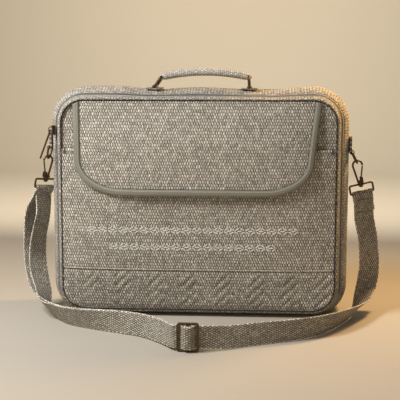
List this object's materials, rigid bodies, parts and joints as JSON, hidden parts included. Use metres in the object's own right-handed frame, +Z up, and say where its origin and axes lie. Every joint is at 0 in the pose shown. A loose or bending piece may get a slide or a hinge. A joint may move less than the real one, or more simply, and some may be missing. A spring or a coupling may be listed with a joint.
{
  "type": "tallit bag",
  "caption": "Soft rectangular zip bag for a prayer shawl, with a flap over a front pocket, a short top handle and a clipped-on shoulder strap lying in front of it.",
  "frame": {"origin": "middle of the bag's flat bottom, on the surface that it stands on", "axes": "+X to the right seen from the front, +Y to the back, +Z up; the flap and pocket face -Y"},
  "size_m": [0.5067, 0.2698, 0.3423],
  "materials": {
    "woven_cloth": "coarse basket weave of cream and grey-brown yarn, matt",
    "binding": "smooth satin tape, soft sheen",
    "dark_seam": "dark corded seam, matt",
    "zip_tape": "fine twill tape, matt",
    "zip_coil": "nylon coil, half matt",
    "strap_webbing": "heavy basket weave webbing, matt",
    "bronze_metal": "dark antique bronze plating, worn bright at the edges"
  },
  "bodies": {
    "bag": {"front_panel": "woven_cloth", "pocket_panel": "woven_cloth", "pocket_hem": "woven_cloth", "chevron_band": "woven_cloth", "front_welt": "dark_seam", "front_gusset": "woven_cloth", "zip_tape": "zip_tape", "rear_gusset": "woven_cloth", "back_panel": "woven_cloth", "zip_coil": "zip_coil", "zip_slider": "bronze_metal", "flap": "woven_cloth", "flap_binding": "binding", "handle_grip": "woven_cloth", "handle_ring_left": "bronze_metal", "handle_ring_right": "bronze_metal", "handle_tab_left": "binding", "handle_tab_right": "binding", "side_tab_left": "strap_webbing", "side_tab_right": "strap_webbing", "d_ring_left": "bronze_metal", "d_ring_right": "bronze_metal", "hook_left": "bronze_metal", "hook_right": "bronze_metal", "strap_loop_left": "bronze_metal", "strap_loop_right": "bronze_metal", "strap": "strap_webbing", "strap_slider": "bronze_metal"},
    "left_gate": {"gate_left": "bronze_metal"},
    "right_gate": {"gate_right": "bronze_metal"},
    "zip_pull": {"zip_pull": "bronze_metal"}
  },
  "joints": [
    {"name": "left_gate_hinge", "type": "hinge", "parent": "bag", "child": "left_gate", "pos_m": [-0.22038, 0.00311, 0.19371], "axis": [-0.6081, 0.788, 0.0963], "range_deg": [0, 25], "stiffness_Nm_per_rad": 0.02, "springref_deg": -11.46},
    {"name": "right_gate_hinge", "type": "hinge", "parent": "bag", "child": "right_gate", "pos_m": [0.2259, 0.0044, 0.19002], "axis": [0, -1, 0], "range_deg": [0, 25], "stiffness_Nm_per_rad": 0.02, "springref_deg": -11.46},
    {"name": "zip_pull_hinge", "type": "hinge", "parent": "bag", "child": "zip_pull", "pos_m": [-0.20488, -0.02783, 0.257], "axis": [-0.3656, 0.9308, 0], "range_deg": [-21, 120]}
  ]
}
